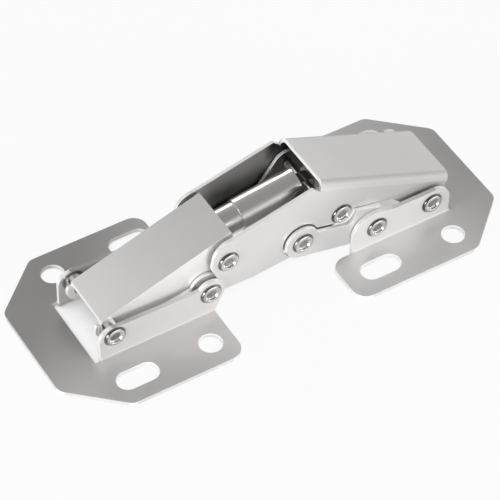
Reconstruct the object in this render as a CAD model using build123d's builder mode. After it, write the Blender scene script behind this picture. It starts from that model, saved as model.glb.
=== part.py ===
from build123d import *

import math
import os

# A surface-mounted concealed cabinet hinge, lying open and flat.
# X runs along the hinge from the cabinet plate (-X) to the door plate (+X), Y across it, Z up.
# The origin is on the resting plane, midway along the length. All sizes are in mm.

# Mounting plates
WIDTH = 56.0
SHEET = 1.2
LENGTH = 134.0
LEFT_INNER_X = -19.3
RIGHT_INNER_X = 15.4
OUTER_END_HALF = 15.0
CHAMFER_LENGTH = 14.4
OUTER_CORNER_R = 3.0
INNER_CORNER_R = 4.0
RELIEF_LENGTH = 1.6
BEND_INNER_R = 0.5
BEND_OUTER_R = 1.1
HOLE_ROW_Y = 20.7
HOLE_R = 3.25
SLOT_LENGTH = 12.0
SLOT_WIDTH = 6.2
SLOT_FROM_END = 19.7
FAR_HOLE_FROM_END = 17.5
HOLE_FROM_INNER = 6.5
SLOT_FROM_INNER = 7.1
RIGHT_HOLE_SHIFT = 3.9

# Pivots of the linkage, as seen from the side (X, Z)
ARM_PIVOT = (-48.72, 8.43)
LEVER_PIVOT = (-20.41, 8.43)
ARM_BRIDGE_PIVOT = (-14.44, 16.13)
LEVER_LINK_PIVOT = (7.46, 12.2)
LEVER_BRIDGE_PIVOT = (19.98, 15.6)
LINK_PLATE_PIVOT = (29.92, 7.41)
BRIDGE_PLATE_PIVOT = (47.43, 7.31)
STRUT_REAR_PIVOT = (14.5, 21.0)

# Stack of sheets from the middle plane outwards
SIDE_GAP = 0.15
ARM_SHEET = 1.1
ARM_HALF = 8.0
LEVER_SHEET = 1.0
BRIDGE_SHEET = 1.0
LINK_SHEET = 1.1
ARM_INNER_Y = ARM_HALF - ARM_SHEET
LEVER_INNER_Y = ARM_HALF + SIDE_GAP
BRIDGE_INNER_Y = LEVER_INNER_Y + LEVER_SHEET + SIDE_GAP
BRIDGE_HALF = BRIDGE_INNER_Y + BRIDGE_SHEET
LINK_INNER_Y = BRIDGE_HALF + SIDE_GAP
LINK_OUTER_Y = LINK_INNER_Y + LINK_SHEET
LEFT_EAR_INNER_Y = LINK_INNER_Y
LEFT_EAR_OUTER_Y = LEFT_EAR_INNER_Y + SHEET
RIGHT_EAR_INNER_Y = LINK_OUTER_Y + SIDE_GAP
RIGHT_EAR_OUTER_Y = RIGHT_EAR_INNER_Y + SHEET

# Ears, lobes and edges
EAR_LOBE_R = 4.1
LEFT_EAR_REACH = 4.3
LEFT_EAR_TOP_OVER_PIVOT = 3.2
LEFT_EAR_CORNER_R = 3.7
RIGHT_EAR_NOSE_R = 6.7
RIGHT_EAR_END_R = 4.6
RIGHT_EAR_END_X = 53.1
EAR_TOP_OVER_PIVOT = 4.4
ARM_FOOT_R = 3.6
ARM_HEAD_R = 4.6
ARM_SLOPE = 18.5
ARM_TOP_START = (-50.95, 11.25)
ARM_TOP_LENGTH = 40.6
ARM_BEND_R = 1.0
LEVER_FOOT_R = 4.7
LEVER_BAR_HALF = 3.2
LEVER_HEAD_R = 4.2
LEVER_LINK_R = 3.8
LEVER_STRUT_R = 4.3
LINK_LOBE_R = 5.0
LINK_END_R = 4.4
LINK_EDGE_GAP = 0.4
BRIDGE_LOBE_R = 4.9
BRIDGE_HEAD_EDGE_R = 3.8
BRIDGE_END_R = 4.4
COVER_START = (14.0, 29.86)
COVER_SLOPE = -23.5
COVER_LENGTH = 44.4
COVER_BEND_R = 2.4

# Rivets, spacers and clearances
SHANK_R = 1.5
RIVET_HEAD_R = 2.9
RIVET_HEAD_H = 0.75
RIVET_RIM_R = 2.45
RIVET_RECESS_R = 1.55
RIVET_RECESS_DEPTH = 0.6
SPACER_R = 2.6
PRESS_GAP = 0.01
RUNNING_GAP = 0.06
FACE_GAP = 0.03

# Spring strut
STRUT_SLOPE = 8.23
STRUT_AXIS_Z = 20.22
SLEEVE_R = 4.6
SLEEVE_BORE_R = 4.2
SLEEVE_START = -6.0
SLEEVE_LENGTH = 18.2
TUBE_R = 4.12
TUBE_BORE_R = 3.4
TUBE_START = -12.8
TUBE_INSERTION = 9.0
TUBE_END_WALL = 1.5
CAP_THICKNESS = 1.4
EYE_HALF = 1.8
FRONT_EYE_R = 2.7
REAR_EYE_R = 2.6
REAR_PIN_R = 1.4
STRUT_STROKE = 2.7
SPRING_MEAN_R = 2.6
SPRING_WIRE_R = 0.45
SPRING_PITCH = 2.2
SPRING_END_GAP = 0.1

LEFT_OUTER_X = -LENGTH / 2
RIGHT_OUTER_X = LENGTH / 2


def polar(centre, radius, angle):
    """Point at a radius and an angle in degrees from a centre."""
    turn = math.radians(angle)
    return (centre[0] + radius * math.cos(turn), centre[1] + radius * math.sin(turn))


def along(start, angle, length, drop=0.0):
    """Point a length along a sloping line, dropped square to it."""
    return polar(polar(start, length, angle), drop, angle - 90)


def side_planes(inner, sheet):
    """Upright planes from which a sheet on the near and on the far side is drawn towards -Y."""
    return (Plane.XZ.offset(inner), Plane.XZ.offset(-inner - sheet))


def one_side(side, inner, sheet):
    """The upright plane of the near (0) or the far (1) sheet."""
    return side_planes(inner, sheet)[side]


def pivot_holes(pivots, radius, reach):
    """Cuts round holes along Y through the part in progress."""
    with BuildSketch(Plane.XZ.offset(reach)) as holes:
        with Locations(*pivots):
            Circle(radius)
    extrude(holes.sketch, amount=-2 * reach, mode=Mode.SUBTRACT)


def ring_solid(pivot, radius, start, end, bore=0.0):
    """Adds one round solid along Y on each side, from one half width to another."""
    for plane in side_planes(start, end - start):
        with BuildSketch(plane) as ring:
            with Locations(pivot):
                Circle(radius)
                if bore:
                    Circle(bore, mode=Mode.SUBTRACT)
        extrude(ring.sketch, amount=end - start)


def rivet_pair(pivot, tail, face):
    """Adds a tubular rivet on each side: shank from the tail, rolled head on the outer face."""
    top = face + RIVET_HEAD_H
    for side in (-1, 1):
        with BuildSketch(Plane.XY.offset(pivot[1])) as profile:
            with BuildLine():
                edge = Polyline(
                    (pivot[0], side * tail),
                    (pivot[0] + SHANK_R, side * tail),
                    (pivot[0] + SHANK_R, side * face),
                    (pivot[0] + RIVET_HEAD_R, side * face),
                )
                rim = ThreePointArc(
                    edge @ 1,
                    (pivot[0] + RIVET_HEAD_R - 0.12, side * (top - 0.2)),
                    (pivot[0] + RIVET_RIM_R, side * top),
                )
                Polyline(
                    rim @ 1,
                    (pivot[0] + RIVET_RECESS_R + 0.35, side * top),
                    (pivot[0] + RIVET_RECESS_R, side * (top - RIVET_RECESS_DEPTH)),
                    (pivot[0], side * (top - RIVET_RECESS_DEPTH)),
                    (pivot[0], side * tail),
                )
            make_face()
        revolve(profile.sketch, axis=Axis((pivot[0], 0, pivot[1]), (0, 1, 0)))


def nearest_corners(sketch, points):
    """Corners of a sketch that lie nearest to the given points."""
    return [sketch.vertices().sort_by_distance((*point, 0))[0] for point in points]


def slot_and_hole(slot_x, hole_x, y):
    """Cuts one slotted and one round fixing hole on a line along X."""
    with Locations((slot_x, y)):
        SlotOverall(SLOT_LENGTH, SLOT_WIDTH, mode=Mode.SUBTRACT)
    with Locations((hole_x, y)):
        Circle(HOLE_R, mode=Mode.SUBTRACT)


def plate_blank(outer_x, inner_x):
    """Draws a plate whose outer corners are clipped."""
    clip_x = outer_x + math.copysign(CHAMFER_LENGTH, inner_x - outer_x)
    half = WIDTH / 2
    with BuildLine() as outline:
        Polyline(
            (outer_x, -OUTER_END_HALF),
            (outer_x, OUTER_END_HALF),
            (clip_x, half),
            (inner_x, half),
            (inner_x, -half),
            (clip_x, -half),
            close=True,
        )
    make_face(outline.edges())


# Left plate: the cabinet side, with two ears for the arm and the lever
LEFT_EAR_START_X = ARM_PIVOT[0] - LEFT_EAR_REACH
LEFT_OPENING_X = LEFT_EAR_START_X - RELIEF_LENGTH


def left_ear():
    """Outline of a left ear: a rounded corner, a gently falling top edge and the lever's lobe."""
    top = ARM_PIVOT[1] + LEFT_EAR_TOP_OVER_PIVOT
    corner = (LEFT_EAR_START_X + LEFT_EAR_CORNER_R, top - LEFT_EAR_CORNER_R)
    lobe_start = polar(LEVER_PIVOT, EAR_LOBE_R, 142)
    neck = polar(LEVER_PIVOT, EAR_LOBE_R, -35)
    with BuildLine() as outline:
        Line((LEFT_EAR_START_X, 0), (LEFT_EAR_START_X, corner[1]))
        CenterArc(corner, LEFT_EAR_CORNER_R, 180, -90)
        Line((corner[0], top), lobe_start)
        CenterArc(LEVER_PIVOT, EAR_LOBE_R, 142, -177)
        Polyline(neck, (LEFT_INNER_X, SHEET), (LEFT_INNER_X, 0), (LEFT_EAR_START_X, 0))
    make_face(outline.edges())


with BuildPart() as left_plate:
    with BuildSketch() as left_flat:
        plate_blank(LEFT_OUTER_X, LEFT_INNER_X)
        fillet(
            nearest_corners(
                left_flat,
                [
                    (LEFT_OUTER_X, OUTER_END_HALF),
                    (LEFT_OUTER_X, -OUTER_END_HALF),
                    (LEFT_OUTER_X + CHAMFER_LENGTH, WIDTH / 2),
                    (LEFT_OUTER_X + CHAMFER_LENGTH, -WIDTH / 2),
                ],
            ),
            radius=OUTER_CORNER_R,
        )
        fillet(
            nearest_corners(left_flat, [(LEFT_INNER_X, WIDTH / 2), (LEFT_INNER_X, -WIDTH / 2)]),
            radius=INNER_CORNER_R,
        )
        with Locations(((LEFT_OPENING_X + LEFT_INNER_X) / 2, 0)):
            Rectangle(LEFT_INNER_X - LEFT_OPENING_X, 2 * LEFT_EAR_INNER_Y, mode=Mode.SUBTRACT)
        with Locations((LEFT_OPENING_X + RELIEF_LENGTH / 2, 0)):
            Rectangle(RELIEF_LENGTH, 2 * LEFT_EAR_OUTER_Y, mode=Mode.SUBTRACT)
        slot_and_hole(LEFT_OUTER_X + SLOT_FROM_END, LEFT_INNER_X - HOLE_FROM_INNER, -HOLE_ROW_Y)
        slot_and_hole(LEFT_INNER_X - SLOT_FROM_INNER, LEFT_OUTER_X + FAR_HOLE_FROM_END, HOLE_ROW_Y)
    extrude(amount=SHEET)
    for plane in side_planes(LEFT_EAR_INNER_Y, SHEET):
        with BuildSketch(plane):
            left_ear()
        extrude(amount=SHEET)
    bends = left_plate.edges().filter_by(Axis.X)
    fillet(
        bends.filter_by_position(Axis.Z, -0.01, 0.01).filter_by(
            lambda e: abs(abs(e.center().Y) - LEFT_EAR_INNER_Y) < 0.01
        ),
        radius=BEND_OUTER_R,
    )
    fillet(
        left_plate.edges()
        .filter_by(Axis.X)
        .filter_by_position(Axis.Z, SHEET - 0.01, SHEET + 0.01)
        .filter_by(lambda e: abs(abs(e.center().Y) - LEFT_EAR_OUTER_Y) < 0.01 and e.length > 20),
        radius=BEND_INNER_R,
    )
    pivot_holes([ARM_PIVOT, LEVER_PIVOT], SHANK_R + PRESS_GAP, LEFT_EAR_OUTER_Y + 1)

# Right plate: the door side, with two longer ears outside the side links
NOSE_CENTRE = (LINK_PLATE_PIVOT[0] - 0.8, LINK_PLATE_PIVOT[1] - 1.0)
RIGHT_EAR_START_X = NOSE_CENTRE[0] - RIGHT_EAR_NOSE_R
RIGHT_OPENING_X = RIGHT_EAR_END_X + RELIEF_LENGTH
RIGHT_EAR_TOP = BRIDGE_PLATE_PIVOT[1] + EAR_TOP_OVER_PIVOT


def right_ear():
    """Outline of a right ear: a large round nose, a lower straight top and a round end."""
    nose_top = polar(NOSE_CENTRE, RIGHT_EAR_NOSE_R, 78)
    end_centre = (RIGHT_EAR_END_X - RIGHT_EAR_END_R, RIGHT_EAR_TOP - RIGHT_EAR_END_R)
    with BuildLine() as outline:
        Line((RIGHT_EAR_START_X, 0), (RIGHT_EAR_START_X, NOSE_CENTRE[1]))
        CenterArc(NOSE_CENTRE, RIGHT_EAR_NOSE_R, 180, -102)
        Polyline(nose_top, (LINK_PLATE_PIVOT[0] + 5.0, RIGHT_EAR_TOP), (end_centre[0], RIGHT_EAR_TOP))
        CenterArc(end_centre, RIGHT_EAR_END_R, 90, -90)
        Polyline((RIGHT_EAR_END_X, end_centre[1]), (RIGHT_EAR_END_X, 0), (RIGHT_EAR_START_X, 0))
    make_face(outline.edges())


with BuildPart() as right_plate:
    with BuildSketch() as right_flat:
        plate_blank(RIGHT_OUTER_X, RIGHT_INNER_X)
        fillet(
            nearest_corners(
                right_flat,
                [
                    (RIGHT_OUTER_X, OUTER_END_HALF),
                    (RIGHT_OUTER_X, -OUTER_END_HALF),
                    (RIGHT_OUTER_X - CHAMFER_LENGTH, WIDTH / 2),
                    (RIGHT_OUTER_X - CHAMFER_LENGTH, -WIDTH / 2),
                ],
            ),
            radius=OUTER_CORNER_R,
        )
        with Locations(((RIGHT_OPENING_X + RIGHT_INNER_X) / 2, 0)):
            Rectangle(RIGHT_OPENING_X - RIGHT_INNER_X, 2 * RIGHT_EAR_INNER_Y, mode=Mode.SUBTRACT)
        with Locations((RIGHT_OPENING_X - RELIEF_LENGTH / 2, 0)):
            Rectangle(RELIEF_LENGTH, 2 * RIGHT_EAR_OUTER_Y, mode=Mode.SUBTRACT)
        with Locations(((RIGHT_INNER_X + RIGHT_EAR_START_X) / 2, 0)):
            Rectangle(RIGHT_EAR_START_X - RIGHT_INNER_X, 2 * RIGHT_EAR_OUTER_Y, mode=Mode.SUBTRACT)
        fillet(
            nearest_corners(
                right_flat,
                [
                    (RIGHT_INNER_X, WIDTH / 2),
                    (RIGHT_INNER_X, -WIDTH / 2),
                    (RIGHT_INNER_X, RIGHT_EAR_OUTER_Y),
                    (RIGHT_INNER_X, -RIGHT_EAR_OUTER_Y),
                ],
            ),
            radius=INNER_CORNER_R,
        )
        slot_and_hole(RIGHT_OUTER_X - SLOT_FROM_END, RIGHT_INNER_X + HOLE_FROM_INNER + RIGHT_HOLE_SHIFT, HOLE_ROW_Y)
        slot_and_hole(RIGHT_INNER_X + SLOT_FROM_INNER + RIGHT_HOLE_SHIFT, RIGHT_OUTER_X - FAR_HOLE_FROM_END, -HOLE_ROW_Y)
    extrude(amount=SHEET)
    for plane in side_planes(RIGHT_EAR_INNER_Y, SHEET):
        with BuildSketch(plane):
            right_ear()
        extrude(amount=SHEET)
    fillet(
        right_plate.edges()
        .filter_by(Axis.X)
        .filter_by_position(Axis.Z, -0.01, 0.01)
        .filter_by(lambda e: abs(abs(e.center().Y) - RIGHT_EAR_INNER_Y) < 0.01),
        radius=BEND_OUTER_R,
    )
    fillet(
        right_plate.edges()
        .filter_by(Axis.X)
        .filter_by_position(Axis.Z, SHEET - 0.01, SHEET + 0.01)
        .filter_by(lambda e: abs(abs(e.center().Y) - RIGHT_EAR_OUTER_Y) < 0.01 and e.length > 20),
        radius=BEND_INNER_R,
    )
    pivot_holes([LINK_PLATE_PIVOT, BRIDGE_PLATE_PIVOT], SHANK_R + PRESS_GAP, RIGHT_EAR_OUTER_Y + 1)

# Inner arm: a U channel open below, pinned to the left plate and to the bridge
ARM_TOP_END = along(ARM_TOP_START, ARM_SLOPE, ARM_TOP_LENGTH)


def arm_wall():
    """Outline of an arm side wall, from the foot lobe to the head lobe."""
    foot_low = polar(ARM_PIVOT, ARM_FOOT_R, ARM_SLOPE - 90)
    head_low = polar(ARM_BRIDGE_PIVOT, ARM_HEAD_R, -80)
    foot_high = polar(ARM_PIVOT, ARM_FOOT_R, 150)
    nose_low = along(ARM_TOP_START, ARM_SLOPE, 0.0, ARM_SHEET)
    with BuildLine() as outline:
        Line(foot_high, nose_low)
        Line(nose_low, ARM_TOP_START)
        Line(ARM_TOP_START, ARM_TOP_END)
        Line(ARM_TOP_END, polar(ARM_BRIDGE_PIVOT, ARM_HEAD_R, 0))
        CenterArc(ARM_BRIDGE_PIVOT, ARM_HEAD_R, 0, -80)
        Line(head_low, foot_low)
        CenterArc(ARM_PIVOT, ARM_FOOT_R, ARM_SLOPE - 90, -120 - ARM_SLOPE)
    make_face(outline.edges())


with BuildPart() as inner_arm:
    for plane in side_planes(ARM_INNER_Y, ARM_SHEET):
        with BuildSketch(plane):
            arm_wall()
        extrude(amount=ARM_SHEET)
    with BuildSketch(Plane.XZ.offset(ARM_HALF)):
        with BuildLine():
            Polyline(
                ARM_TOP_START,
                ARM_TOP_END,
                along(ARM_TOP_START, ARM_SLOPE, ARM_TOP_LENGTH, ARM_SHEET),
                along(ARM_TOP_START, ARM_SLOPE, 0.0, ARM_SHEET),
                close=True,
            )
        make_face()
    extrude(amount=-2 * ARM_HALF)
    slope_axis = Axis((0, 0, 0), (math.cos(math.radians(ARM_SLOPE)), 0, math.sin(math.radians(ARM_SLOPE))))
    arm_rims = inner_arm.edges().filter_by(slope_axis).filter_by(lambda e: abs(abs(e.center().Y) - ARM_HALF) < 0.01)
    arm_nose = inner_arm.edges().filter_by(Axis.Y).sort_by_distance((ARM_TOP_START[0], 0, ARM_TOP_START[1]))[:1]
    fillet(arm_rims.sort_by(Axis.Z)[-2:] + arm_nose, radius=ARM_BEND_R)
    pivot_holes([ARM_PIVOT], SHANK_R + RUNNING_GAP, ARM_HALF + 1)
    pivot_holes([ARM_BRIDGE_PIVOT], SHANK_R + PRESS_GAP, ARM_HALF + 1)


# Levers: hidden behind the bridge walls, carrying the bridge and the side links
def lever_outline():
    """Outline of a lever: foot lobe and bar, then a broad head round three pivots."""
    span = (LEVER_BRIDGE_PIVOT[0] - LEVER_PIVOT[0], LEVER_BRIDGE_PIVOT[1] - LEVER_PIVOT[1])
    middle = ((LEVER_BRIDGE_PIVOT[0] + LEVER_PIVOT[0]) / 2, (LEVER_BRIDGE_PIVOT[1] + LEVER_PIVOT[1]) / 2)
    with Locations(LEVER_BRIDGE_PIVOT):
        Circle(LEVER_HEAD_R)
    with Locations(STRUT_REAR_PIVOT):
        Circle(LEVER_STRUT_R)
    with Locations(LEVER_LINK_PIVOT):
        Circle(LEVER_LINK_R)
    make_hull()
    with Locations(Location(middle, math.degrees(math.atan2(span[1], span[0])))):
        Rectangle(math.hypot(*span), 2 * LEVER_BAR_HALF)
    with Locations(LEVER_PIVOT):
        Circle(LEVER_FOOT_R)


def build_lever(side):
    """One lever plate with its four holes."""
    with BuildPart() as lever:
        with BuildSketch(one_side(side, LEVER_INNER_Y, LEVER_SHEET)):
            lever_outline()
        extrude(amount=LEVER_SHEET)
        pivot_holes([LEVER_PIVOT, LEVER_BRIDGE_PIVOT], SHANK_R + RUNNING_GAP, ARM_HALF + 3)
        pivot_holes([LEVER_LINK_PIVOT], SHANK_R + PRESS_GAP, ARM_HALF + 3)
        pivot_holes([STRUT_REAR_PIVOT], REAR_PIN_R + RUNNING_GAP, ARM_HALF + 3)
    return lever


near_lever = build_lever(0)
far_lever = build_lever(1)

# Bridge: the covered outer channel that spans from the arm to the door plate
COVER_END = along(COVER_START, COVER_SLOPE, COVER_LENGTH)
WALL_PEAK = (10.8, 29.4)
WALL_RELIEF = (12.6, 27.7)
BEND_RELIEF = 0.3
WALL_TOP_LEFT = (-13.2, 23.5)
WALL_FOOT_LEFT = (-15.4, 6.1)
WALL_FOOT_MID = (-7.0, 5.9)
WALL_UNDER_END = (36.0, 12.6)
LINK_CUTOUT_R = LINK_LOBE_R + LINK_EDGE_GAP
LINK_EDGE_START = polar(LEVER_LINK_PIVOT, LINK_LOBE_R, 20)
LINK_EDGE_END = polar(LEVER_BRIDGE_PIVOT, BRIDGE_HEAD_EDGE_R + LINK_EDGE_GAP, -72)


def bridge_wall():
    """Outline of a bridge wall with its link cut-out and the lobe round the lever rivet."""
    lobe_low = polar(ARM_BRIDGE_PIVOT, BRIDGE_LOBE_R, 205)
    cut_end = polar(LEVER_LINK_PIVOT, LINK_CUTOUT_R, 22)
    cut_start = polar(LEVER_LINK_PIVOT, LINK_CUTOUT_R, 245)
    head_low = polar(LEVER_BRIDGE_PIVOT, BRIDGE_HEAD_EDGE_R, -75)
    head_right = polar(LEVER_BRIDGE_PIVOT, BRIDGE_HEAD_EDGE_R, -5)
    end_low = polar(BRIDGE_PLATE_PIVOT, BRIDGE_END_R, 215)
    end_right = polar(BRIDGE_PLATE_PIVOT, BRIDGE_END_R, -15)
    with BuildLine() as outline:
        Polyline(
            WALL_TOP_LEFT,
            WALL_PEAK,
            WALL_RELIEF,
            along(COVER_START, COVER_SLOPE, 0.0, COVER_BEND_R + BEND_RELIEF),
            COVER_START,
            COVER_END,
        )
        Polyline(COVER_END, along(COVER_START, COVER_SLOPE, COVER_LENGTH, 3.0), end_right)
        CenterArc(BRIDGE_PLATE_PIVOT, BRIDGE_END_R, -15, -130)
        Polyline(end_low, WALL_UNDER_END, head_right)
        CenterArc(LEVER_BRIDGE_PIVOT, BRIDGE_HEAD_EDGE_R, -5, -70)
        Line(head_low, cut_end)
        CenterArc(LEVER_LINK_PIVOT, LINK_CUTOUT_R, 22, 223)
        Polyline(cut_start, WALL_FOOT_MID, WALL_FOOT_LEFT, lobe_low)
        CenterArc(ARM_BRIDGE_PIVOT, BRIDGE_LOBE_R, 205, -45)
        ThreePointArc(
            polar(ARM_BRIDGE_PIVOT, BRIDGE_LOBE_R, 160),
            polar(ARM_BRIDGE_PIVOT, BRIDGE_LOBE_R + 1.3, 122),
            WALL_TOP_LEFT,
        )
    make_face(outline.edges())


with BuildPart() as bridge:
    for plane in side_planes(BRIDGE_INNER_Y, BRIDGE_SHEET):
        with BuildSketch(plane):
            bridge_wall()
        extrude(amount=BRIDGE_SHEET)
    with BuildSketch(Plane.XZ.offset(BRIDGE_HALF)):
        with BuildLine():
            Polyline(
                COVER_START,
                COVER_END,
                along(COVER_START, COVER_SLOPE, COVER_LENGTH, BRIDGE_SHEET),
                along(COVER_START, COVER_SLOPE, 0.0, BRIDGE_SHEET),
                close=True,
            )
        make_face()
    extrude(amount=-2 * BRIDGE_HALF)
    cover_axis = Axis((0, 0, 0), (math.cos(math.radians(COVER_SLOPE)), 0, math.sin(math.radians(COVER_SLOPE))))
    cover_rims = bridge.edges().filter_by(cover_axis)
    fillet(
        cover_rims.filter_by(lambda e: abs(abs(e.center().Y) - BRIDGE_INNER_Y) < 0.01 and e.length > 20),
        radius=COVER_BEND_R - BRIDGE_SHEET,
    )
    cover_rims = bridge.edges().filter_by(cover_axis)
    fillet(
        cover_rims.filter_by(lambda e: abs(abs(e.center().Y) - BRIDGE_HALF) < 0.01 and e.length > 20),
        radius=COVER_BEND_R,
    )
    pivot_holes([ARM_BRIDGE_PIVOT, LEVER_BRIDGE_PIVOT], SHANK_R + PRESS_GAP, BRIDGE_HALF + 1)
    pivot_holes([BRIDGE_PLATE_PIVOT], SHANK_R + RUNNING_GAP, BRIDGE_HALF + 1)

# Side links: outside the bridge walls, from the lever to the door plate
LINK_END_X = 31.6
LINK_TOP_LEFT = (24.0, 15.6)
LINK_TOP_RIGHT = (LINK_END_X, 13.5)
LINK_UNDER = (21.5, 3.8)


def link_outline():
    """Outline of a side link, with the hollow that clears the lever rivet's head."""
    lobe_low = polar(LEVER_LINK_PIVOT, LINK_LOBE_R, 255)
    hollow_r = BRIDGE_HEAD_EDGE_R + LINK_EDGE_GAP
    hollow_top = polar(LEVER_BRIDGE_PIVOT, hollow_r, -3)
    with BuildLine() as outline:
        CenterArc(LEVER_LINK_PIVOT, LINK_LOBE_R, 20, 235)
        Polyline(lobe_low, LINK_UNDER, polar(LINK_PLATE_PIVOT, LINK_END_R, -90))
        CenterArc(LINK_PLATE_PIVOT, LINK_END_R, -90, 90)
        Polyline(
            polar(LINK_PLATE_PIVOT, LINK_END_R, 0),
            (LINK_END_X, LINK_PLATE_PIVOT[1] + 3.0),
            LINK_TOP_RIGHT,
            LINK_TOP_LEFT,
            hollow_top,
        )
        CenterArc(LEVER_BRIDGE_PIVOT, hollow_r, -3, -69)
        Line(LINK_EDGE_END, LINK_EDGE_START)
    make_face(outline.edges())


def build_side_link(side):
    """One side link plate with its two holes."""
    with BuildPart() as link:
        with BuildSketch(one_side(side, LINK_INNER_Y, LINK_SHEET)):
            link_outline()
        extrude(amount=LINK_SHEET)
        pivot_holes([LEVER_LINK_PIVOT], SHANK_R + RUNNING_GAP, LINK_OUTER_Y + 1)
        pivot_holes([LINK_PLATE_PIVOT], SHANK_R + RUNNING_GAP, LINK_OUTER_Y + 1)
    return link


near_side_link = build_side_link(0)
far_side_link = build_side_link(1)

# Rivets, in pairs, near and far
with BuildPart() as arm_pivot_rivets:
    rivet_pair(ARM_PIVOT, ARM_INNER_Y, LEFT_EAR_OUTER_Y)

with BuildPart() as lever_pivot_rivets:
    rivet_pair(LEVER_PIVOT, LEVER_INNER_Y, LEFT_EAR_OUTER_Y)

with BuildPart() as bridge_arm_rivets:
    rivet_pair(ARM_BRIDGE_PIVOT, BRIDGE_INNER_Y, BRIDGE_HALF)

with BuildPart() as bridge_lever_rivets:
    rivet_pair(LEVER_BRIDGE_PIVOT, LEVER_INNER_Y, BRIDGE_HALF)

with BuildPart() as link_lever_rivets:
    rivet_pair(LEVER_LINK_PIVOT, LEVER_INNER_Y, LINK_OUTER_Y + FACE_GAP)

with BuildPart() as link_plate_rivets:
    rivet_pair(LINK_PLATE_PIVOT, RIGHT_EAR_INNER_Y, RIGHT_EAR_OUTER_Y)

with BuildPart() as bridge_plate_rivets:
    rivet_pair(BRIDGE_PLATE_PIVOT, BRIDGE_INNER_Y, RIGHT_EAR_OUTER_Y)

# Spacer rings that hold the sheets apart at the pivots
with BuildPart() as arm_pivot_spacers:
    ring_solid(ARM_PIVOT, SPACER_R, ARM_HALF + FACE_GAP, LEFT_EAR_INNER_Y, SHANK_R + PRESS_GAP)

with BuildPart() as lever_pivot_spacers:
    lever_outer_y = LEVER_INNER_Y + LEVER_SHEET
    ring_solid(LEVER_PIVOT, SPACER_R, lever_outer_y + FACE_GAP, LEFT_EAR_INNER_Y, SHANK_R + PRESS_GAP)

with BuildPart() as link_spacers:
    ring_solid(LEVER_LINK_PIVOT, SPACER_R, LEVER_INNER_Y + LEVER_SHEET, LINK_INNER_Y - FACE_GAP, SHANK_R + PRESS_GAP)

with BuildPart() as bridge_plate_spacers:
    ring_solid(BRIDGE_PLATE_PIVOT, SPACER_R, BRIDGE_HALF + FACE_GAP, RIGHT_EAR_INNER_Y, SHANK_R + PRESS_GAP)

with BuildPart() as arm_head_spacers:
    ring_solid(ARM_BRIDGE_PIVOT, SPACER_R, ARM_HALF, BRIDGE_INNER_Y - FACE_GAP)

# Spring strut: a tube pinned to the arm slides in a sleeve pinned between the levers
STRUT_DIRECTION = (math.cos(math.radians(STRUT_SLOPE)), 0, math.sin(math.radians(STRUT_SLOPE)))


def on_strut(x):
    """Point of the strut's axis at a place along X, seen from the side."""
    return (x, STRUT_AXIS_Z + x * math.tan(math.radians(STRUT_SLOPE)))


def strut_plane(x, shift=0.0):
    """Plane square to the strut at a place along X, shifted along the axis."""
    point = polar(on_strut(x), shift, STRUT_SLOPE)
    return Plane(origin=(point[0], 0, point[1]), x_dir=(0, 1, 0), z_dir=STRUT_DIRECTION)


def eye(pivot, radius, root, hole_r):
    """Adds a flat eye round a pivot, joined to the strut's end at a root point."""
    reach = math.dist(pivot, root)
    heading = math.degrees(math.atan2(root[1] - pivot[1], root[0] - pivot[0]))
    middle = ((pivot[0] + root[0]) / 2, (pivot[1] + root[1]) / 2)
    with BuildSketch(Plane.XZ.offset(EYE_HALF)) as plate:
        with Locations(pivot):
            Circle(radius)
        with Locations(Location(middle, heading)):
            Rectangle(reach, 2 * radius - 1.0)
        with Locations(pivot):
            Circle(hole_r, mode=Mode.SUBTRACT)
    extrude(plate.sketch, amount=-2 * EYE_HALF)


TUBE_LENGTH = (SLEEVE_START - TUBE_START) / math.cos(math.radians(STRUT_SLOPE)) + TUBE_INSERTION

with BuildPart() as strut_tube:
    with BuildSketch(strut_plane(TUBE_START)):
        Circle(TUBE_R)
    extrude(amount=TUBE_LENGTH)
    with BuildSketch(strut_plane(TUBE_START, TUBE_END_WALL)):
        Circle(TUBE_BORE_R)
    extrude(amount=TUBE_LENGTH, mode=Mode.SUBTRACT)

with BuildPart() as strut_front_eye:
    eye(ARM_BRIDGE_PIVOT, FRONT_EYE_R, on_strut(TUBE_START + 1.2), SHANK_R + RUNNING_GAP)
    with BuildSketch(strut_plane(TUBE_START)):
        Circle(TUBE_R + 1)
    extrude(amount=5, mode=Mode.SUBTRACT)

with BuildPart() as strut_front_pin:
    with BuildSketch(Plane.XZ.offset(ARM_HALF)):
        with Locations(ARM_BRIDGE_PIVOT):
            Circle(SHANK_R)
    extrude(amount=-2 * ARM_HALF)

with BuildPart() as strut_sleeve:
    with BuildSketch(strut_plane(SLEEVE_START)):
        Circle(SLEEVE_R)
        Circle(SLEEVE_BORE_R, mode=Mode.SUBTRACT)
    extrude(amount=SLEEVE_LENGTH)

with BuildPart() as strut_rear_cap:
    with BuildSketch(strut_plane(SLEEVE_START, SLEEVE_LENGTH - CAP_THICKNESS)):
        Circle(SLEEVE_BORE_R)
    extrude(amount=CAP_THICKNESS)
    cap_root = polar(on_strut(SLEEVE_START), SLEEVE_LENGTH - CAP_THICKNESS / 2, STRUT_SLOPE)
    eye(STRUT_REAR_PIVOT, REAR_EYE_R, cap_root, REAR_PIN_R + PRESS_GAP)

with BuildPart() as strut_rear_pin:
    with BuildSketch(Plane.XZ.offset(ARM_HALF)):
        with Locations(STRUT_REAR_PIVOT):
            Circle(REAR_PIN_R)
    extrude(amount=-2 * ARM_HALF)

SPRING_LENGTH = (
    TUBE_LENGTH + SLEEVE_LENGTH - CAP_THICKNESS - TUBE_INSERTION - TUBE_END_WALL
    - STRUT_STROKE - 2 * SPRING_WIRE_R - 2 * SPRING_END_GAP
)

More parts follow.
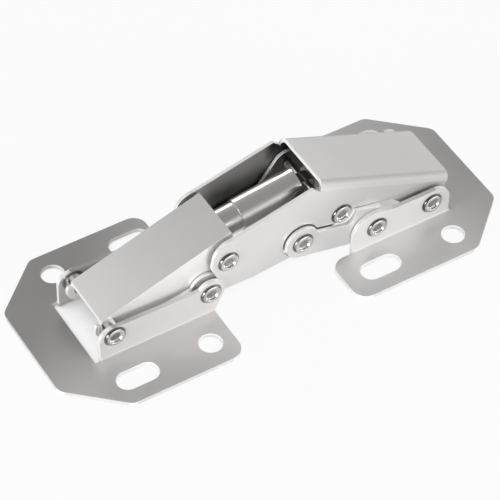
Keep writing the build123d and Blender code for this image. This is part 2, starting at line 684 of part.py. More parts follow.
with BuildPart() as strut_spring:
    spring_plane = strut_plane(TUBE_START, TUBE_END_WALL + SPRING_WIRE_R + SPRING_END_GAP)
    with BuildLine():
        coil = Helix(
            pitch=SPRING_PITCH,
            height=SPRING_LENGTH,
            radius=SPRING_MEAN_R,
            center=spring_plane.origin,
            direction=spring_plane.z_dir,
        )
    with BuildSketch(Plane(origin=coil @ 0, z_dir=coil % 0)):
        Circle(SPRING_WIRE_R)
    sweep(is_frenet=True)

PARTS = {
    "left_plate": left_plate,
    "right_plate": right_plate,
    "inner_arm": inner_arm,
    "near_lever": near_lever,
    "far_lever": far_lever,
    "bridge": bridge,
    "near_side_link": near_side_link,
    "far_side_link": far_side_link,
    "arm_pivot_rivets": arm_pivot_rivets,
    "lever_pivot_rivets": lever_pivot_rivets,
    "bridge_arm_rivets": bridge_arm_rivets,
    "bridge_lever_rivets": bridge_lever_rivets,
    "link_lever_rivets": link_lever_rivets,
    "link_plate_rivets": link_plate_rivets,
    "bridge_plate_rivets": bridge_plate_rivets,
    "arm_pivot_spacers": arm_pivot_spacers,
    "lever_pivot_spacers": lever_pivot_spacers,
    "link_spacers": link_spacers,
    "bridge_plate_spacers": bridge_plate_spacers,
    "arm_head_spacers": arm_head_spacers,
    "strut_tube": strut_tube,
    "strut_front_eye": strut_front_eye,
    "strut_front_pin": strut_front_pin,
    "strut_sleeve": strut_sleeve,
    "strut_rear_cap": strut_rear_cap,
    "strut_rear_pin": strut_rear_pin,
    "strut_spring": strut_spring,
}

os.makedirs("parts", exist_ok=True)
for name, piece in PARTS.items():
    piece.part.label = name
    export_step(piece.part, f"parts/{name}.step")
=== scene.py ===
"""Looks of a surface-mounted concealed cabinet hinge, lying open and flat."""

import logging
import math
from dataclasses import dataclass, replace
from enum import Enum

import bmesh
import bpy
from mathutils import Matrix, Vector

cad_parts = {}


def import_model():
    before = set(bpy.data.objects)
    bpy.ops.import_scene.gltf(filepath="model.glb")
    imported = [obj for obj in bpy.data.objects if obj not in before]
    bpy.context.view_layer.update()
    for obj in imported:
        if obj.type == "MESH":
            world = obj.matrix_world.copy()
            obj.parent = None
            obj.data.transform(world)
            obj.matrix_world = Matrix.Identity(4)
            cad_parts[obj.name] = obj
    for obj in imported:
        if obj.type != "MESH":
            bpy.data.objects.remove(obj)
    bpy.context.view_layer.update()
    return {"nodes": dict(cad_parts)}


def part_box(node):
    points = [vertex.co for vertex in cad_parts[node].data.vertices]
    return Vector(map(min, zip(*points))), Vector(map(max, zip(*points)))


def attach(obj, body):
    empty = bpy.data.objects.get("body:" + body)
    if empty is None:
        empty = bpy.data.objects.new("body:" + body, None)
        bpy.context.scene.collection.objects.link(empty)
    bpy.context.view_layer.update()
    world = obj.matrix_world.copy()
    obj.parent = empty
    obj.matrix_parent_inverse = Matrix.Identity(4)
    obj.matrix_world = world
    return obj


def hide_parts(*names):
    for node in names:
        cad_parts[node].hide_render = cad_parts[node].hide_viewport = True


LOG = logging.getLogger("hinge")
MM = 0.001
EVEN = (1.0, 1.0, 1.0)
WHITE = (1.0, 1.0, 1.0, 1.0)

# Tones of the pits on the metal, and of the shade painted on it
PIT_TONE = (0.18, 0.175, 0.17, 1.0)
BEND_SHADE_TONE = (0.42, 0.41, 0.40, 1.0)
RIVET_SHADE_TONE = (0.10, 0.098, 0.095, 1.0)
SEAM_SHADOW_TONE = (0.06, 0.058, 0.055, 1.0)
CHANNEL_SHADE_TONE = (0.018, 0.017, 0.016, 1.0)
GRADIENT_SHADE_TONE = (0.16, 0.155, 0.15, 1.0)

# Fine texture that all finishes share
FINE_SCALE = 9000.0
BUMP_DEPTH = 0.02 * MM
TONE_SPAN = (0.35, 0.65)
PIT_SPAN = (0.24, 0.36)
PATCH_SPAN = (0.3, 0.6)

# Bends, by how far a face looks up
BEND_RISE = (0.15, 0.4)
BEND_FALL = (0.75, 0.92)
TOP_RISE = (0.3, 0.8)

# Rings round a rivet's axis, with painted shade in the recess and on the head's rim, and a painted contact
# shadow on the sheet round the head
TOOL_MARK_PITCH = 0.11 * MM
RECESS_RING = (1.25 * MM, 1.6 * MM)
HEAD_RING = (2.52 * MM, 2.72 * MM)
SEAM_SHADOW_RING = (2.98 * MM, 3.3 * MM)

# Where painted shade darkens the inside of the channel, on faces that look inwards or down
CHANNEL_SHADE_ALONG = (-24 * MM, -6 * MM)
CHANNEL_SHADE_DEEP = (4 * MM, 11 * MM)
CHANNEL_SHADE_FAR_SIDE = (0.0, 2 * MM)
CHANNEL_SHADE_INWARD = (-0.006, -0.004)
CHANNEL_SHADE_UNDERSIDE = (-0.7, -0.4)
CHANNEL_SHADE_HIGH = (18 * MM, 27 * MM)
CHANNEL_SHADE_LOW = (3 * MM, 10 * MM)
CHANNEL_SHADE_PATCHES = (0.2, 0.7)

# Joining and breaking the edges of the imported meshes
MERGE_GAP = 0.002 * MM
FLAT_ANGLE = math.radians(0.3)
CUT_ANGLE = math.radians(55)
BEVEL_ANGLE = math.radians(40)


class Slot(Enum):
    """The record's material slots."""

    SATIN = "satin_steel"
    RIVET = "rivet_steel"
    POLISHED = "polished_steel"


class Signal:
    """A shader socket that builds Math nodes when it is used in an expression."""

    def __init__(self, graph: "Graph", socket: bpy.types.NodeSocket) -> None:
        """Keeps the graph and the socket.

        Args:
            graph: The material's graph.
            socket: The output socket that this signal stands for.
        """
        self.graph = graph
        self.socket = socket

    def _math(self, operation: str, first: "Signal | float", second: "Signal | float") -> "Signal":
        """Adds one Math node.

        Args:
            operation: The Math node's operation.
            first: Its first value or link.
            second: Its second value or link.

        Returns:
            The node's result.
        """
        return self.graph.add("ShaderNodeMath", {"operation": operation}, {0: first, 1: second})

    def __add__(self, other: "Signal | float") -> "Signal":
        """Sum of two signals."""
        return self._math("ADD", self, other)

    def __radd__(self, other: float) -> "Signal":
        """Sum with a number on the left."""
        return self._math("ADD", other, self)

    def __sub__(self, other: "Signal | float") -> "Signal":
        """Difference of two signals."""
        return self._math("SUBTRACT", self, other)

    def __rsub__(self, other: float) -> "Signal":
        """Difference from a number on the left."""
        return self._math("SUBTRACT", other, self)

    def __mul__(self, other: "Signal | float") -> "Signal":
        """Product of two signals."""
        return self._math("MULTIPLY", self, other)

    def __rmul__(self, other: float) -> "Signal":
        """Product with a number on the left."""
        return self._math("MULTIPLY", other, self)

    def larger(self, other: "Signal") -> "Signal":
        """The larger of two signals."""
        return self._math("MAXIMUM", self, other)


class Graph:
    """The node tree of a material or of the world, filled by one method."""

    def __init__(self, owner: bpy.types.Material | bpy.types.World) -> None:
        """Empties the owner's tree.

        Args:
            owner: The material or world to fill.
        """
        self.owner = owner
        owner.use_nodes = True
        self.tree = owner.node_tree
        self.tree.nodes.clear()

    def add(
        self,
        kind: str,
        settings: dict[str, object] | None = None,
        inputs: dict[str | int, object] | None = None,
        output: str | int = 0,
    ) -> Signal | None:
        """Makes one node.

        Args:
            kind: The node's type.
            settings: Attributes to set before its sockets.
            inputs: Values or signals for its sockets, by name or number.
            output: The output socket that is returned.

        Returns:
            The chosen output as a signal, or nothing where the node has no output.
        """
        node = self.tree.nodes.new(kind)
        for key, value in (settings or {}).items():
            setattr(node, key, value)
        for key, value in (inputs or {}).items():
            if isinstance(value, Signal):
                self.tree.links.new(value.socket, node.inputs[key])
            else:
                node.inputs[key].default_value = value
        return Signal(self, node.outputs[output]) if node.outputs else None

    def place(self) -> Signal:
        """The point on the surface in the piece's own coordinates."""
        return self.add("ShaderNodeTexCoord", output="Object")

    def grain(self, scale: float, stretch: tuple[float, float, float], detail: float) -> Signal:
        """Noise stretched along the piece.

        Args:
            scale: Noise cells per metre.
            stretch: How much each axis is scaled first.
            detail: The noise's detail.

        Returns:
            The noise, from 0 to 1.
        """
        spot = self.add("ShaderNodeMapping", inputs={"Vector": self.place(), "Scale": stretch})
        return self.add("ShaderNodeTexNoise", inputs={"Vector": spot, "Scale": scale, "Detail": detail})

    def ramp(self, factor: Signal, low: float, high: float, bottom: float, top: float) -> Signal:
        """Smooth step between two values.

        Args:
            factor: What is stepped.
            low: Where the step starts.
            high: Where the step ends.
            bottom: The value below the step.
            top: The value above it.

        Returns:
            The stepped value.
        """
        ends = {"Value": factor, "From Min": low, "From Max": high, "To Min": bottom, "To Max": top}
        return self.add("ShaderNodeMapRange", {"interpolation_type": "SMOOTHSTEP"}, ends)

    def blend(self, factor: Signal, first: object, second: object) -> Signal:
        """Mixes two colours.

        Args:
            factor: How much of the second colour shows.
            first: The first colour.
            second: The second colour.

        Returns:
            The mixed colour.
        """
        return self.add("ShaderNodeMix", {"data_type": "RGBA"}, {0: factor, 6: first, 7: second}, 2)

    def along(self, spot: Signal, heading: object) -> Signal:
        """How far a place lies along a heading.

        Args:
            spot: The place or direction.
            heading: The heading.

        Returns:
            The two's dot product.
        """
        return self.add("ShaderNodeVectorMath", {"operation": "DOT_PRODUCT"}, {0: spot, 1: heading}, "Value")

    def reach(self, centre: tuple[float, float]) -> Signal:
        """Distance from an axis along Y.

        Args:
            centre: The axis's X and Z.

        Returns:
            The distance in metres.
        """
        x, _, z = self.apart(self.place())
        across = self.add("ShaderNodeCombineXYZ", inputs={0: x - centre[0], 2: z - centre[1]})
        return self.add("ShaderNodeVectorMath", {"operation": "LENGTH"}, {0: across}, "Value")

    def apart(self, spot: Signal) -> tuple[Signal, Signal, Signal]:
        """Splits a place into its three coordinates.

        Args:
            spot: The place.

        Returns:
            X, Y and Z.
        """
        node = self.add("ShaderNodeSeparateXYZ", inputs={0: spot}).socket.node
        return tuple(Signal(self, socket) for socket in node.outputs)


@dataclass
class Surface:
    """A finish while it is built: where a point lies and looks, and its values so far."""

    graph: Graph
    place: tuple[Signal, Signal, Signal]
    facing: tuple[Signal, Signal, Signal]
    cloud: Signal
    tone: Signal
    rough: Signal
    height: Signal
    metal: Signal | float

    def patches(self) -> Signal:
        """Uneven strength of the painted shade, from 0.6 to 1."""
        return self.graph.ramp(self.cloud, *PATCH_SPAN, 0.6, 1.0)

    def cover(self, mask: Signal, tone: tuple[float, float, float, float]) -> None:
        """Lays a tone over the metal.

        Args:
            mask: Where it lies.
            tone: Its colour.
        """
        self.tone = self.graph.blend(mask, self.tone, tone)


@dataclass(frozen=True)
class ShadeGradient:
    """A painted shade gradient across a sheet, from its own tone to darker along one direction, set for how
    the light falls.
    """

    heading: tuple[float, float, float]
    start: float
    stop: float
    depth: float


@dataclass(frozen=True)
class Plating:
    """A metal finish: its two tones, its gloss and the size of its fine texture."""

    name: str
    light: tuple[float, float, float]
    dark: tuple[float, float, float]
    roughness: float
    roughness_spread: float
    metallic: float
    cloud_scale: float = 60.0
    grain_scale: float = 2600.0
    grain_stretch: tuple[float, float, float] = EVEN
    bump: float = 0.2
    speckle: float = 0.06
    # The next five fields paint shade: inside the channel, in gradients across the sheet, on walls and tops,
    # and on the bends, which are also made matt.
    shaded_channel: bool = False
    shade_gradients: tuple[ShadeGradient, ...] = ()
    wall_shade: float = 0.0
    top_shade: float = 1.0
    bend_matt_and_shade: float = 0.0

    def bare(self, graph: Graph) -> Surface:
        """Starts the finish with clean metal, clouded, grained and finely pitted.

        Args:
            graph: The material's graph.

        Returns:
            The surface so far.
        """
        cloud = graph.grain(self.cloud_scale, EVEN, 3.0)
        grain = graph.grain(self.grain_scale, self.grain_stretch, 2.0)
        fine = graph.grain(FINE_SCALE, EVEN, 1.0)
        mottle = graph.ramp(0.7 * cloud + 0.3 * grain, *TONE_SPAN, 0.0, 1.0)
        surface = Surface(
            graph=graph,
            place=graph.apart(graph.place()),
            facing=graph.apart(graph.add("ShaderNodeTexCoord", output="Normal")),
            cloud=cloud,
            tone=graph.blend(mottle, (*self.dark, 1.0), (*self.light, 1.0)),
            rough=(self.roughness - self.roughness_spread / 2) + self.roughness_spread * grain,
            height=0.7 * grain + 0.3 * fine,
            metal=self.metallic,
        )
        surface.cover(graph.ramp(fine, *PIT_SPAN, self.speckle, 0.0), PIT_TONE)
        return surface

    def matt_and_shade_bends(self, surface: Surface) -> None:
        """Makes the bends matt, as the press leaves them, and greys them with painted shade that damps the
        lamps' glint.

        Args:
            surface: The surface so far.
        """
        graph = surface.graph
        up = surface.facing[2]
        bend = graph.ramp(up, *BEND_RISE, 0.0, self.bend_matt_and_shade) * graph.ramp(up, *BEND_FALL, 1.0, 0.0)
        # Painted shade greys the bends, damping the lamps' glint
        surface.cover(0.5 * bend, BEND_SHADE_TONE)
        surface.rough = surface.rough + 0.25 * bend
        surface.metal = self.metallic - (0.6 * self.metallic) * bend

    def turn(self, surface: Surface, centre: tuple[float, float]) -> None:
        """Cuts a lathe's rings, and paints shade into the recess and onto the head's rim.

        Args:
            surface: The surface so far.
            centre: X and Z of the piece's axis.
        """
        graph = surface.graph
        ring = graph.reach(centre)
        turns = ring * (2 * math.pi / TOOL_MARK_PITCH)
        groove = graph.add("ShaderNodeMath", {"operation": "SINE"}, {0: turns})
        surface.height = surface.height + 0.25 * groove
        # Painted shade in the recess and on the head's rim
        rivet_shade = graph.ramp(ring, *RECESS_RING, 0.72, 0.0) + graph.ramp(ring, *HEAD_RING, 0.0, 0.95)
        surface.cover(rivet_shade * surface.patches(), RIVET_SHADE_TONE)

    def paint_seam_shadows(self, surface: Surface, pivots: tuple[tuple[float, float], ...]) -> None:
        """Paints a contact shadow on the sheet round its rivets' heads.

        Args:
            surface: The surface so far.
            pivots: X and Z of the rivets.
        """
        for pivot in pivots:
            # Painted contact shadow on the sheet round each rivet's head
            seam = surface.graph.ramp(surface.graph.reach(pivot), *SEAM_SHADOW_RING, 0.9, 0.0)
            surface.cover(seam * surface.patches(), SEAM_SHADOW_TONE)

    def paint_channel_shade(self, surface: Surface) -> None:
        """Paints nearly black shade over the faces that look inwards or down inside the channel.

        Args:
            surface: The surface so far.
        """
        graph = surface.graph
        x, y, z = surface.place
        deep = graph.ramp(x, *CHANNEL_SHADE_DEEP, 0.0, 1.0)
        far = graph.ramp(y, *CHANNEL_SHADE_FAR_SIDE, 0.2, 1.0)
        inward = graph.ramp(surface.facing[1] * y, *CHANNEL_SHADE_INWARD, 1.0, 0.0) * far.larger(deep)
        under = graph.ramp(surface.facing[2], *CHANNEL_SHADE_UNDERSIDE, 1.0, 0.0)
        along = graph.ramp(x, *CHANNEL_SHADE_ALONG, 0.0, 1.0)
        high = graph.ramp(z, *CHANNEL_SHADE_HIGH, 1.0, 0.55)
        low = graph.ramp(z, *CHANNEL_SHADE_LOW, 0.3, 1.0)
        uneven = graph.ramp(surface.cloud, *CHANNEL_SHADE_PATCHES, 0.9, 1.0)
        channel_shade = inward.larger(under) * along * high.larger(deep) * low * uneven
        # Nearly black painted shade inside the channel
        surface.cover(channel_shade * 0.98, CHANNEL_SHADE_TONE)
        surface.rough = surface.rough + 0.06 * channel_shade
        surface.metal = surface.metal + channel_shade * (1.0 - surface.metal)

    def paint_shade_gradients(self, surface: Surface) -> None:
        """Paints shade gradients on the sheet along each of its headings.

        Args:
            surface: The surface so far.
        """
        graph = surface.graph
        share = graph.ramp(surface.facing[2], *TOP_RISE, self.wall_shade, self.top_shade)
        for step in self.shade_gradients:
            along = graph.along(graph.place(), step.heading)
            gradient_shade = graph.ramp(along, step.start, step.stop, 0.0, step.depth)
            # Painted shade that grows along the heading, weighted for tops and walls
            surface.cover(gradient_shade * share, GRADIENT_SHADE_TONE)

    def material(
        self, centre: tuple[float, float] | None = None, pivots: tuple[tuple[float, float], ...] = ()
    ) -> bpy.types.Material:
        """Builds the finish.

        Args:
            centre: X and Z of the pivot round which a turned piece carries its tool marks and its painted
                shade.
            pivots: X and Z of the rivets round whose heads a contact shadow is painted on a sheet.

        Returns:
            The finished material.
        """
        graph = Graph(bpy.data.materials.new(self.name))
        surface = self.bare(graph)
        if self.bend_matt_and_shade:
            self.matt_and_shade_bends(surface)
        if centre is not None:
            self.turn(surface, centre)
        self.paint_seam_shadows(surface, pivots)
        if self.shaded_channel:
            self.paint_channel_shade(surface)
        if self.shade_gradients:
            self.paint_shade_gradients(surface)
        relief = {"Strength": self.bump, "Distance": BUMP_DEPTH, "Height": surface.height}
        shader = graph.add(
            "ShaderNodeBsdfPrincipled",
            inputs={
                "Base Color": surface.tone,
                "Metallic": surface.metal,
                "Roughness": surface.rough,
                "Normal": graph.add("ShaderNodeBump", inputs=relief),
            },
        )
        graph.add("ShaderNodeOutputMaterial", inputs={"Surface": shader})
        return graph.owner


LINK_SHEET = Plating(
    name="satin_nickel_sheet",
    light=(0.78, 0.77, 0.76),
    dark=(0.75, 0.74, 0.73),
    roughness=0.32,
    roughness_spread=0.10,
    metallic=0.45,
    shaded_channel=True,
    shade_gradients=(ShadeGradient((1.0, 0.0, -0.6), -14 * MM, 26 * MM, 0.20),),
    wall_shade=1.0,
    bend_matt_and_shade=1.0,
)
BRIDGE_SHEET = replace(
    LINK_SHEET,
    name="satin_nickel_bridge",
    shade_gradients=(ShadeGradient((1.0, 0.0, -1.2), -26 * MM, 10 * MM, 0.27),),
    top_shade=0.3,
)
# A lighter copy of the satin nickel sheet: its higher tone is painted light, brightening the arm whose wall
# lies in the ear's shadow.
LIGHTENED_ARM_SHEET = Plating(
    name="satin_nickel_arm_lightened",
    light=(0.93, 0.92, 0.91),
    dark=(0.90, 0.89, 0.88),
    roughness=0.34,
    roughness_spread=0.10,
    metallic=0.38,
    shaded_channel=True,
    shade_gradients=(ShadeGradient((1.0, 0.0, 0.0), -90 * MM, -6 * MM, 0.42),),
    bend_matt_and_shade=0.3,
)
PLATE_SHEET = Plating(
    name="satin_nickel_plate",
    light=(0.865, 0.85, 0.84),
    dark=(0.83, 0.815, 0.805),
    roughness=0.32,
    roughness_spread=0.08,
    metallic=0.42,
    bump=0.12,
    shade_gradients=(
        ShadeGradient((-1.0, 1.3, 0.0), 28 * MM, 76 * MM, 0.50),
        ShadeGradient((0.0, 1.0, 0.0), -20 * MM, 4 * MM, 0.16),
        ShadeGradient((1.0, 0.0, 0.0), 28 * MM, 74 * MM, 0.50),
        ShadeGradient((-1.0, 0.0, 0.0), 14 * MM, 40 * MM, 0.20),
    ),
    wall_shade=0.45,
    bend_matt_and_shade=1.0,
)
# The cut edges' lighter copy of the sheet: its near-white, less metallic tone is a painted highlight along
# the edges.
CUT_EDGE_HIGHLIGHT = Plating(
    name="sheared_edge_highlight",
    light=(0.97, 0.965, 0.96),
    dark=(0.92, 0.915, 0.91),
    roughness=0.32,
    roughness_spread=0.10,
    metallic=0.3,
    cloud_scale=200.0,
    grain_scale=5000.0,
)
RIVET_METAL = Plating(
    name="bright_rivet_nickel",
    light=(0.84, 0.83, 0.82),
    dark=(0.72, 0.71, 0.70),
    roughness=0.22,
    roughness_spread=0.08,
    metallic=0.97,
    cloud_scale=300.0,
    grain_scale=3000.0,
)
DRAWN_TUBE = Plating(
    name="drawn_steel_tube",
    light=(0.96, 0.935, 0.915),
    dark=(0.89, 0.87, 0.85),
    roughness=0.20,
    roughness_spread=0.05,
    metallic=0.92,
    cloud_scale=90.0,
    grain_scale=900.0,
    grain_stretch=(0.1, 3.0, 3.0),
    bump=0.02,
)
SPRING_WIRE = Plating(
    name="spring_wire",
    light=(0.30, 0.30, 0.30),
    dark=(0.20, 0.20, 0.20),
    roughness=0.30,
    roughness_spread=0.10,
    metallic=0.95,
    cloud_scale=200.0,
    grain_scale=1500.0,
)


def select_only(piece: bpy.types.Object) -> None:
    """Makes a piece the only selected and active object.

    Args:
        piece: The object to select.
    """
    bpy.ops.object.select_all(action="DESELECT")
    piece.select_set(True)
    bpy.context.view_layer.objects.active = piece


def dress(piece: bpy.types.Object, *materials: bpy.types.Material) -> None:
    """Gives a piece its finishes, the first of them on all its faces.

    Args:
        piece: The object to dress.
        materials: Its finishes.
    """
    piece.data.materials.clear()
    for material in materials:
        piece.data.materials.append(material)


@dataclass
class PressedPiece:
    """A pressed or turned piece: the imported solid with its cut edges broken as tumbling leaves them."""

    node: str
    body: str
    slot: Slot
    finish: bpy.types.Material
    edge: float
    edge_highlight_finish: bpy.types.Material | None = None
    segments: int = 3
    smooth_angle: float = math.radians(28)
    sheet: float = 1.2 * MM
    cut_width: float = 0.85
    cut_length: float = 1.2

    def mark_cut_edges(self, piece: bpy.types.Object) -> None:
        """Gives the narrow sheared faces round a sheet and its holes the second finish, a lighter tone that
        paints their highlight.

        Args:
            piece: The piece, before its edges are broken.
        """
        form = bmesh.new()
        form.from_mesh(piece.data)
        for face in form.faces:
            sharp = [edge for edge in face.edges if edge.is_manifold and edge.calc_face_angle() > CUT_ANGLE]
            soft = [edge for edge in face.edges if edge not in sharp]
            narrow = 2 * face.calc_area() / face.calc_perimeter() < self.cut_width * self.sheet
            short = all(edge.calc_length() < self.cut_length * self.sheet for edge in soft)
            face.material_index = int(len(sharp) >= 2 and narrow and short)
        form.to_mesh(piece.data)
        form.free()

    def join_faces(self, piece: bpy.types.Object) -> None:
        """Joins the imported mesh's loose triangles into whole faces.

        Args:
            piece: The piece.
        """
        select_only(piece)
        bpy.ops.object.mode_set(mode="EDIT")
        bpy.ops.mesh.select_all(action="SELECT")
        bpy.ops.mesh.remove_doubles(threshold=MERGE_GAP)
        bpy.ops.mesh.dissolve_limited(angle_limit=FLAT_ANGLE)
        bpy.ops.object.mode_set(mode="OBJECT")

    def break_edges(self, piece: bpy.types.Object) -> None:
        """Rounds the sharp edges and keeps the flat faces flat to the light.

        Args:
            piece: The piece.
        """
        bevel = piece.modifiers.new("broken_edge", "BEVEL")
        bevel.width = self.edge
        bevel.segments = self.segments
        bevel.limit_method = "ANGLE"
        bevel.angle_limit = BEVEL_ANGLE
        bevel.use_clamp_overlap = True
        bevel.miter_outer = "MITER_ARC"
        select_only(piece)
        bpy.ops.object.modifier_apply(modifier=bevel.name)
        bpy.ops.object.shade_smooth_by_angle(angle=self.smooth_angle)
        weighted = piece.modifiers.new("flat_faces", "WEIGHTED_NORMAL")
        weighted.keep_sharp = True
        weighted.weight = 100
        bpy.ops.object.modifier_apply(modifier=weighted.name)

    def build(self, nodes: dict[str, bpy.types.Object]) -> None:
        """Copies the node's mesh, joins its faces, dresses it and breaks its edges.

        Args:
            nodes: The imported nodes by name.
        """
        piece = bpy.data.objects.new(f"{self.node}_finished", nodes[self.node].data.copy())
        bpy.context.scene.collection.objects.link(piece)
        self.join_faces(piece)
        if self.edge_highlight_finish is None:
            dress(piece, self.finish)
        else:
            dress(piece, self.finish, self.edge_highlight_finish)
            self.mark_cut_edges(piece)
        self.break_edges(piece)
        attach(piece, self.body)
        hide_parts(self.node)
        LOG.info("%s: %d faces", piece.name, len(piece.data.polygons))


def pivot_of(node: str) -> tuple[float, float]:
    """X and Z of the axis of a node's rivets or spacers."""
    low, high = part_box(node)
    return (low[0] + high[0]) / 2, (low[2] + high[2]) / 2


class Finishes:
    """The finishes that several pieces share, each made once."""

    def __init__(self) -> None:
        """Makes the finishes."""
        plate_pivots = ("arm_pivot_rivets", "lever_pivot_rivets", "link_plate_rivets", "bridge_plate_rivets")
        bridge_pivots = ("bridge_arm_rivets", "bridge_lever_rivets")
        self.sheet = LINK_SHEET.material(pivots=(pivot_of("link_lever_rivets"),))
        self.bridge = BRIDGE_SHEET.material(pivots=tuple(map(pivot_of, bridge_pivots)))
        self.plate = PLATE_SHEET.material(pivots=tuple(map(pivot_of, plate_pivots)))
        self.arm = LIGHTENED_ARM_SHEET.material()
        self.cut = CUT_EDGE_HIGHLIGHT.material()
        self.tube = DRAWN_TUBE.material()
        self.wire = SPRING_WIRE.material()


@dataclass
class SubAssembly:
    """Pieces that ride on one body, and how far tumbling has broken their edges."""

    nodes: dict[str, bpy.types.Object]
    finishes: Finishes
    body: str = ""
    sheet_edge: float = 0.18 * MM
    tube_edge: float = 0.1 * MM
    turned_edge: float = 0.06 * MM

    def press(self, node: str, finish: bpy.types.Material) -> None:
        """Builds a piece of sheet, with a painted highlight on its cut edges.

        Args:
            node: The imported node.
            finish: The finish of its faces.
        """
        cut = self.finishes.cut
        PressedPiece(node, self.body, Slot.SATIN, finish, self.sheet_edge, cut).build(self.nodes)

    def turn(self, *names: str) -> None:
        """Builds rivets or spacers, each pair with its tool marks round its own pivot.

        Args:
            names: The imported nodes.
        """
        for node in names:
            finish = RIVET_METAL.material(pivot_of(node))
            PressedPiece(node, self.body, Slot.RIVET, finish, self.turned_edge).build(self.nodes)

    def draw(self, *names: str) -> None:
        """Builds polished pieces of the strut.

        Args:
            names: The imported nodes.
        """
        for node in names:
            PressedPiece(node, self.body, Slot.POLISHED, self.finishes.tube, self.tube_edge).build(self.nodes)


@dataclass
class CabinetPlate(SubAssembly):
    """The cabinet-side plate with its two pivots."""

    body: str = "cabinet_plate"

    def build(self) -> None:
        """Builds the plate, then the rivets and spacers in its ears."""
        self.press("left_plate", self.finishes.plate)
        self.turn("arm_pivot_rivets", "arm_pivot_spacers", "lever_pivot_rivets", "lever_pivot_spacers")


@dataclass
class Arm(SubAssembly):
    """The channelled arm between the cabinet plate and the bridge."""

    body: str = "arm"

    def build(self) -> None:
        """Builds the channel, then the strut's front pin and the spacers in its head."""
        self.press("inner_arm", self.finishes.arm)
        self.draw("strut_front_pin")
        self.turn("arm_head_spacers")


@dataclass
class Lever(SubAssembly):
    """The two flat levers behind the bridge's walls."""

    body: str = "lever"

    def build(self) -> None:
        """Builds both levers, then the rivets and spacers of the side links' pivot."""
        self.press("near_lever", self.finishes.sheet)
        self.press("far_lever", self.finishes.sheet)
        self.turn("link_lever_rivets", "link_spacers")


@dataclass
class Bridge(SubAssembly):
    """The covered channel over the linkage."""

    body: str = "bridge"

    def build(self) -> None:
        """Builds the channel, then its rivets to the arm and the levers."""
        self.press("bridge", self.finishes.bridge)
        self.turn("bridge_arm_rivets", "bridge_lever_rivets")


@dataclass
class SideLinks(SubAssembly):
    """The two flat links outside the bridge's walls."""

    body: str = "side_links"

    def build(self) -> None:
        """Builds both links."""
        self.press("near_side_link", self.finishes.sheet)
        self.press("far_side_link", self.finishes.sheet)


@dataclass
class DoorPlate(SubAssembly):
    """The door-side plate with its two pivots."""

    body: str = "door_plate"

    def build(self) -> None:
        """Builds the plate, then the rivets and spacers in its ears."""
        self.press("right_plate", self.finishes.plate)
        self.turn("link_plate_rivets", "bridge_plate_rivets", "bridge_plate_spacers")


@dataclass
class StrutFront(SubAssembly):
    """The strut's tube with its eye and spring."""

    body: str = "strut_front"

    def build(self) -> None:
        """Builds the tube and the eye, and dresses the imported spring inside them."""
        self.draw("strut_tube", "strut_front_eye")
        dress(self.nodes["strut_spring"], self.finishes.wire)


@dataclass
class StrutRear(SubAssembly):
    """The strut's sleeve with its cap and pin."""

    body: str = "strut_rear"

    def build(self) -> None:
        """Builds the sleeve, the cap and the pin."""
        self.draw("strut_sleeve", "strut_rear_cap", "strut_rear_pin")


@dataclass(frozen=True)
class Glow:
    """A soft pale card, or a dark one, that only the metal sees."""

    heading: tuple[float, float, float]
    strength: float
    width: float


@dataclass(frozen=True)
class Softbox:
    """An oblong lamp aimed at the hinge."""

    name: str
    spot: tuple[float, float, float]
    size: tuple[float, float]
    watts: float


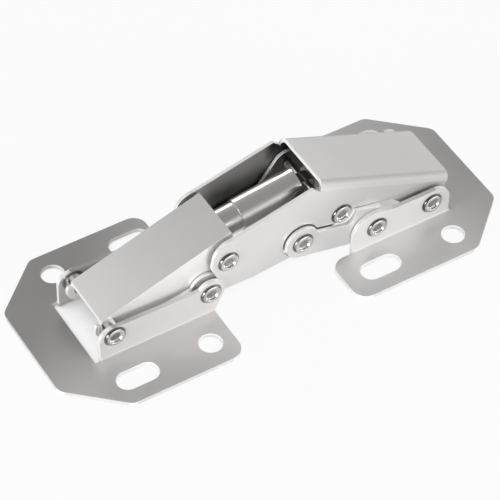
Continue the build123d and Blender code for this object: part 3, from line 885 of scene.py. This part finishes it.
@dataclass
class Studio:
    """White sweep, soft lamps and the camera."""

    lens: float = 186.614
    sensor: float = 36.0
    sight: float = 20.0
    azimuth: float = math.radians(-32.466)
    elevation: float = math.radians(47.788)
    roll: float = math.radians(1.593)
    distance: float = 687.398 * MM
    shift_right: float = -1.197 * MM
    shift_up: float = 1.818 * MM
    floor_half: float = 1.2
    floor_level: float = -0.02 * MM
    floor_tone: float = 0.9
    floor_white: float = 0.93
    floor_mirrored: float = 0.3
    floor_deep: float = 0.1
    floor_reach: float = 20 * MM
    floor_open: tuple[float, float] = (0.2, 0.5)
    room_tone: float = 0.25
    room_colour: tuple[float, float, float, float] = (1.0, 0.99, 0.98, 1.0)
    glows: tuple[Glow, ...] = (
        Glow((0.36, -0.93, 0.12), 0.4, math.radians(50)),
        Glow((0.66, 0.72, 0.18), 0.62, math.radians(42)),
        Glow((0.36, 0.84, 0.40), 3.6, math.radians(17)),
        Glow((-0.35, 0.55, 0.76), 0.62, math.radians(30)),
        Glow((-0.85, 0.35, 0.40), -0.33, math.radians(30)),
    )
    lamps: tuple[Softbox, ...] = (
        Softbox("front_softbox", (0.50, -0.98, 0.31), (2.2, 0.55), 12.5),
        Softbox("left_softbox", (-1.12, -0.15, 0.17), (0.9, 0.28), 12.0),
    )

    def camera(self) -> None:
        """Sets the camera at the photograph's view."""
        back = Vector(
            (
                math.sin(self.azimuth) * math.cos(self.elevation),
                -math.cos(self.azimuth) * math.cos(self.elevation),
                math.sin(self.elevation),
            )
        )
        right = (-back).cross(Vector((0, 0, 1))).normalized()
        up = right.cross(-back)
        level_right = math.cos(self.roll) * right + math.sin(self.roll) * up
        level_up = -math.sin(self.roll) * right + math.cos(self.roll) * up
        spot = back * self.distance + self.shift_right * level_right + self.shift_up * level_up
        data = bpy.data.cameras.new("camera")
        data.lens = self.lens
        data.sensor_width = self.sensor
        data.clip_end = self.sight
        camera = bpy.data.objects.new("camera", data)
        bpy.context.scene.collection.objects.link(camera)
        matrix = camera.matrix_world.copy()
        for row in range(3):
            matrix[row][:] = level_right[row], level_up[row], back[row], spot[row]
        camera.matrix_world = matrix
        bpy.context.scene.camera = camera

    def floor(self) -> None:
        """Lays the white floor, which looks white but still takes shadow, and is dimmed under the parts by
        painted shade from ambient occlusion.
        """
        bpy.ops.object.select_all(action="DESELECT")
        bpy.ops.mesh.primitive_plane_add(size=2 * self.floor_half, location=(0, 0, self.floor_level))
        floor = bpy.context.active_object
        floor.name = "floor"
        graph = Graph(bpy.data.materials.new("white_floor"))
        rays = graph.add("ShaderNodeLightPath", output="Is Camera Ray")
        glossy = graph.add("ShaderNodeLightPath", output="Is Glossy Ray")
        # Ambient occlusion dims the floor's white under and between the parts: painted shade
        sky = graph.add("ShaderNodeAmbientOcclusion", {"samples": 12}, {"Distance": self.floor_reach}, "AO")
        white = graph.ramp(sky, *self.floor_open, self.floor_deep, self.floor_white)
        shader = graph.add(
            "ShaderNodeMixShader",
            inputs={
                0: white * rays + self.floor_mirrored * glossy,
                1: graph.add("ShaderNodeBsdfDiffuse", inputs={"Color": (self.floor_tone,) * 3 + (1.0,)}),
                2: graph.add("ShaderNodeEmission", inputs={"Color": WHITE, "Strength": 1.0}),
            },
        )
        graph.add("ShaderNodeOutputMaterial", inputs={"Surface": shader})
        dress(floor, graph.owner)

    def world(self) -> None:
        """Makes the room white to the camera, and grey with soft pale cards to the metal."""
        world = bpy.data.worlds.new("studio")
        bpy.context.scene.world = world
        graph = Graph(world)
        looking = graph.add("ShaderNodeTexCoord", output="Generated")
        light = self.room_tone
        for glow in self.glows:
            near = graph.along(looking, Vector(glow.heading).normalized())
            light = light + graph.ramp(near, math.cos(glow.width), 1.0, 0.0, glow.strength)
        shader = graph.add(
            "ShaderNodeMixShader",
            inputs={
                0: graph.add("ShaderNodeLightPath", output="Is Camera Ray"),
                1: graph.add("ShaderNodeBackground", inputs={"Color": self.room_colour, "Strength": light}),
                2: graph.add("ShaderNodeBackground", inputs={"Color": WHITE, "Strength": 1.0}),
            },
        )
        graph.add("ShaderNodeOutputWorld", inputs={"Surface": shader})

    def hang(self, softbox: Softbox) -> None:
        """Hangs a lamp.

        Args:
            softbox: The lamp.
        """
        data = bpy.data.lights.new(softbox.name, "AREA")
        data.shape = "RECTANGLE"
        data.size, data.size_y = softbox.size
        data.energy = softbox.watts
        lamp = bpy.data.objects.new(softbox.name, data)
        lamp.location = softbox.spot
        lamp.rotation_euler = (-Vector(softbox.spot)).to_track_quat("-Z", "Y").to_euler()
        bpy.context.scene.collection.objects.link(lamp)

    def build(self) -> None:
        """Builds the whole studio."""
        self.camera()
        self.floor()
        self.world()
        for softbox in self.lamps:
            self.hang(softbox)
        bpy.context.scene.view_settings.view_transform = "Standard"


def main() -> None:
    """Loads the frame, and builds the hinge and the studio."""
    logging.basicConfig(level=logging.INFO, format="%(name)s: %(message)s")
    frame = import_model()
    finishes = Finishes()
    for kind in (CabinetPlate, Arm, Lever, Bridge, SideLinks, DoorPlate, StrutFront, StrutRear):
        part = kind(frame["nodes"], finishes)
        part.build()
        LOG.info("%s is built", part.body)
    Studio().build()


if __name__ == "__main__":
    main()
